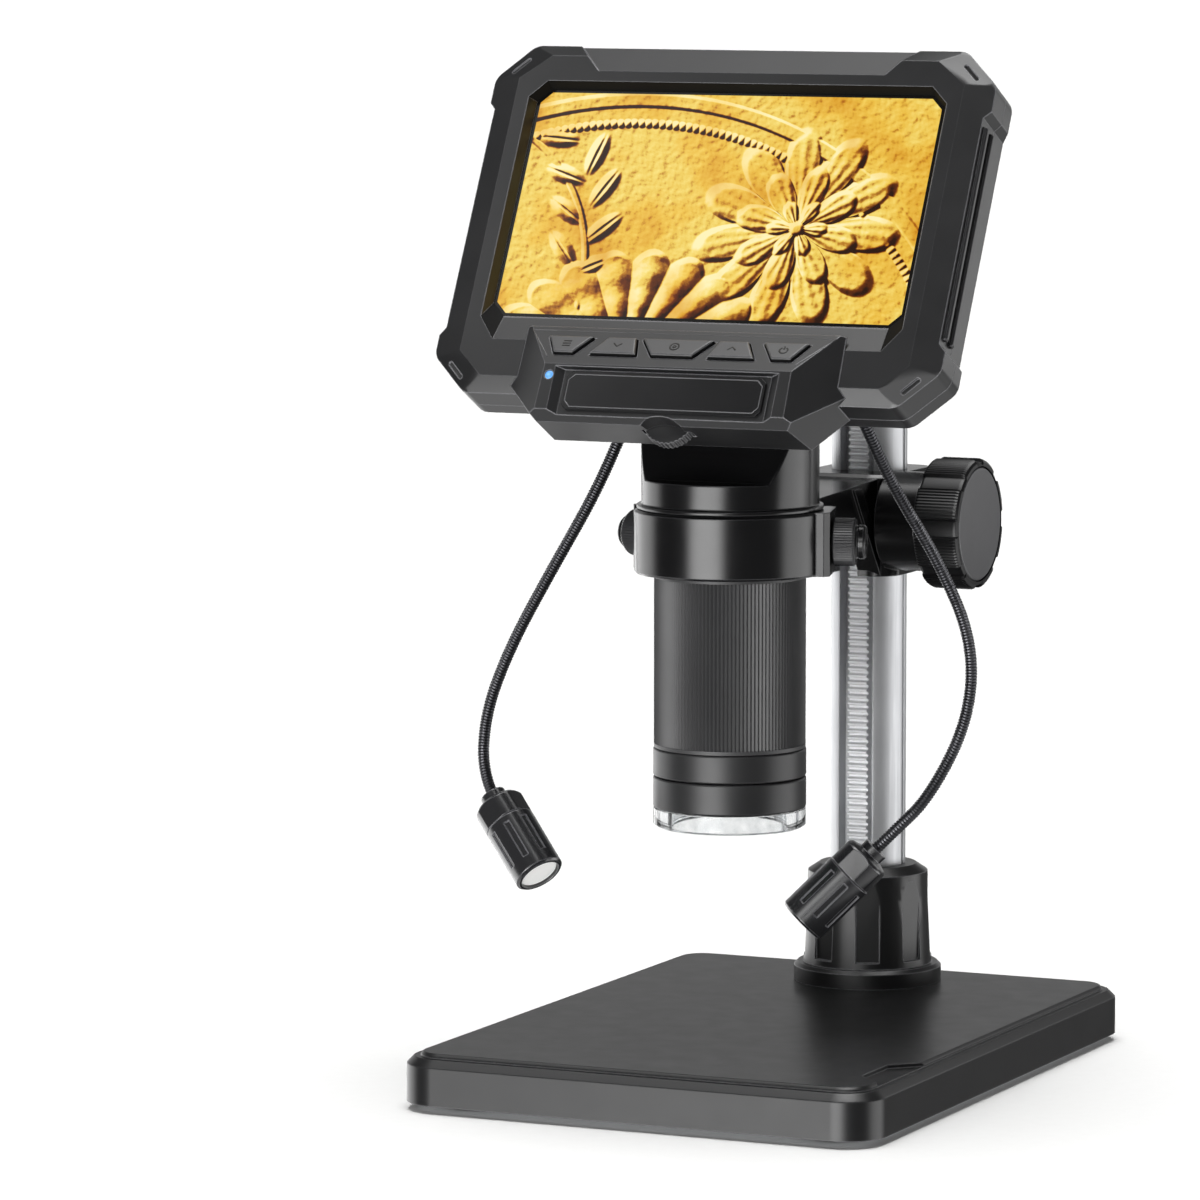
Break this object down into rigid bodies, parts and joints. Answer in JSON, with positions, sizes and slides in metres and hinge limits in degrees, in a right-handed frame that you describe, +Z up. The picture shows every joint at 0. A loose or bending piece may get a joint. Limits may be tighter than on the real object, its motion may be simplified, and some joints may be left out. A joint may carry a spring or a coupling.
{
  "type": "lcd digital microscope",
  "caption": "Desk microscope with a tilted screen on a camera tube, held by a focusing carriage on a rack column over a flat stage, with flexible lamps.",
  "frame": {"origin": "on the surface the microscope stands on, under the middle of the base plate", "axes": "+Z up along the column, -Y the way the screen faces (the user's side), +X to the user's right"},
  "size_m": [0.1241, 0.1528, 0.2252],
  "materials": {
    "base_abs": "satin moulded",
    "steel": "zinc plated",
    "rubber": "matt",
    "column_metal": "bright drawn",
    "black_abs": "semi-gloss moulded",
    "knob_abs": "satin moulded",
    "monitor_abs": "fine satin texture",
    "button_abs": "satin moulded",
    "panel_abs": "smooth",
    "clear_plastic": "clear polished",
    "bush_plastic": "plain acetal",
    "circuit_board": "solder mask",
    "battery_wrap": "foil pouch",
    "glass": "polished",
    "screen": "lit picture",
    "led_blue": "lit diffuser",
    "gooseneck_steel": "black coil",
    "lamp_metal": "black anodised"
  },
  "bodies": {
    "stand": {"base_shell": "base_abs", "base_weight": "steel", "rubber_feet": "rubber", "base_screws": "steel", "column_collar": "black_abs", "collar_screws": "steel", "column": "column_metal", "gear_rack": "column_metal", "column_cap": "black_abs"},
    "focus_carriage": {"carriage": "black_abs", "shaft_bushes": "bush_plastic"},
    "focus_pinion": {"pinion_shaft": "steel", "pinion_gear": "bush_plastic", "focus_knob_left": "knob_abs", "focus_knob_right": "knob_abs", "knob_caps": "knob_abs"},
    "clamp_screw_left": {"thumb_screw_left": "black_abs"},
    "clamp_screw_right": {"thumb_screw_right": "black_abs"},
    "head": {"camera_body": "black_abs", "lens_barrel": "black_abs", "light_ring_upper": "black_abs", "light_ring_lower": "black_abs", "led_ring_board": "circuit_board", "objective_lens": "glass", "sensor_board": "circuit_board", "monitor_front_bezel": "monitor_abs", "monitor_rear_cover": "monitor_abs", "side_grips": "monitor_abs", "cover_glass": "glass", "lcd_panel": "screen", "main_board": "circuit_board", "battery": "battery_wrap", "case_screws": "steel", "usb_socket": "steel", "card_socket": "steel", "button_deck": "monitor_abs", "deck_panel": "panel_abs", "button_board": "circuit_board", "status_led": "led_blue", "lamp_sockets": "black_abs", "gooseneck_roots": "gooseneck_steel"},
    "grip": {"focus_grip": "black_abs"},
    "cap": {"clear_cap": "clear_plastic"},
    "dimmer": {"dimmer_wheel": "black_abs"},
    "lamp_arm_left": {"gooseneck_left": "gooseneck_steel", "lamp_cap_left": "lamp_metal", "lamp_barrel_left": "lamp_metal", "lamp_lens_left": "glass", "lamp_board_left": "circuit_board"},
    "lamp_arm_right": {"gooseneck_right": "gooseneck_steel", "lamp_cap_right": "lamp_metal", "lamp_barrel_right": "lamp_metal", "lamp_lens_right": "glass", "lamp_board_right": "circuit_board"},
    "key_menu": {"button_menu": "button_abs"},
    "key_down": {"button_down": "button_abs"},
    "key_select": {"button_select": "button_abs"},
    "key_up": {"button_up": "button_abs"},
    "key_power": {"button_power": "button_abs"}
  },
  "joints": [
    {"name": "focus_slide", "type": "slide", "parent": "stand", "child": "focus_carriage", "axis": [0, 0, 1], "range_m": [-0.015, 0.045]},
    {"name": "pinion_turn", "type": "hinge", "parent": "focus_carriage", "child": "focus_pinion", "pos_m": [0, 0.04495, 0.1185], "axis": [1, 0, 0], "range_deg": [-607, 202.5]},
    {"name": "clamp_screw_left_turn", "type": "hinge", "parent": "focus_carriage", "child": "clamp_screw_left", "pos_m": [0, -0.0229, 0.1199], "axis": [-0.9563, 0.2924, 0], "range_deg": [0, 720]},
    {"name": "clamp_screw_right_turn", "type": "hinge", "parent": "focus_carriage", "child": "clamp_screw_right", "pos_m": [0, -0.0229, 0.1199], "axis": [0.9563, 0.2924, 0], "range_deg": [0, 720]},
    {"name": "head_turn", "type": "hinge", "parent": "focus_carriage", "child": "head", "pos_m": [0, -0.0229, 0.1199], "axis": [0, 0, 1], "range_deg": [-25, 25]},
    {"name": "grip_turn", "type": "hinge", "parent": "head", "child": "grip", "pos_m": [0, -0.0229, 0.094], "axis": [0, 0, 1], "range_deg": [-150, 150]},
    {"name": "cap_pull", "type": "slide", "parent": "head", "child": "cap", "axis": [0, 0, -1], "range_m": [0, 0.006]},
    {"name": "dimmer_turn", "type": "hinge", "parent": "head", "child": "dimmer", "pos_m": [0, -0.05382, 0.14826], "axis": [0, -0.8859, 0.4639], "range_deg": [0, 270]},
    {"name": "lamp_arm_left_bend", "type": "hinge", "parent": "head", "child": "lamp_arm_left", "pos_m": [-0.0282, -0.013, 0.1456], "axis": [0, 1, 0], "range_deg": [-15, 70]},
    {"name": "lamp_arm_right_bend", "type": "hinge", "parent": "head", "child": "lamp_arm_right", "pos_m": [0.0264, -0.0126, 0.1464], "axis": [0, 1, 0], "range_deg": [-70, 5]},
    {"name": "key_menu_press", "type": "slide", "parent": "head", "child": "key_menu", "axis": [0, 0.6033, -0.7975], "range_m": [0, 0.0005], "stiffness_N_per_m": 300, "springref_m": -0.0005},
    {"name": "key_down_press", "type": "slide", "parent": "head", "child": "key_down", "axis": [0, 0.6033, -0.7975], "range_m": [0, 0.0005], "stiffness_N_per_m": 300, "springref_m": -0.0005},
    {"name": "key_select_press", "type": "slide", "parent": "head", "child": "key_select", "axis": [0, 0.6033, -0.7975], "range_m": [0, 0.0005], "stiffness_N_per_m": 300, "springref_m": -0.0005},
    {"name": "key_up_press", "type": "slide", "parent": "head", "child": "key_up", "axis": [0, 0.6033, -0.7975], "range_m": [0, 0.0005], "stiffness_N_per_m": 300, "springref_m": -0.0005},
    {"name": "key_power_press", "type": "slide", "parent": "head", "child": "key_power", "axis": [0, 0.6033, -0.7975], "range_m": [0, 0.0005], "stiffness_N_per_m": 300, "springref_m": -0.0005}
  ],
  "couplings": [
    {"joint": "pinion_turn", "follows": "focus_slide", "rad_per_m": -235.29}
  ]
}
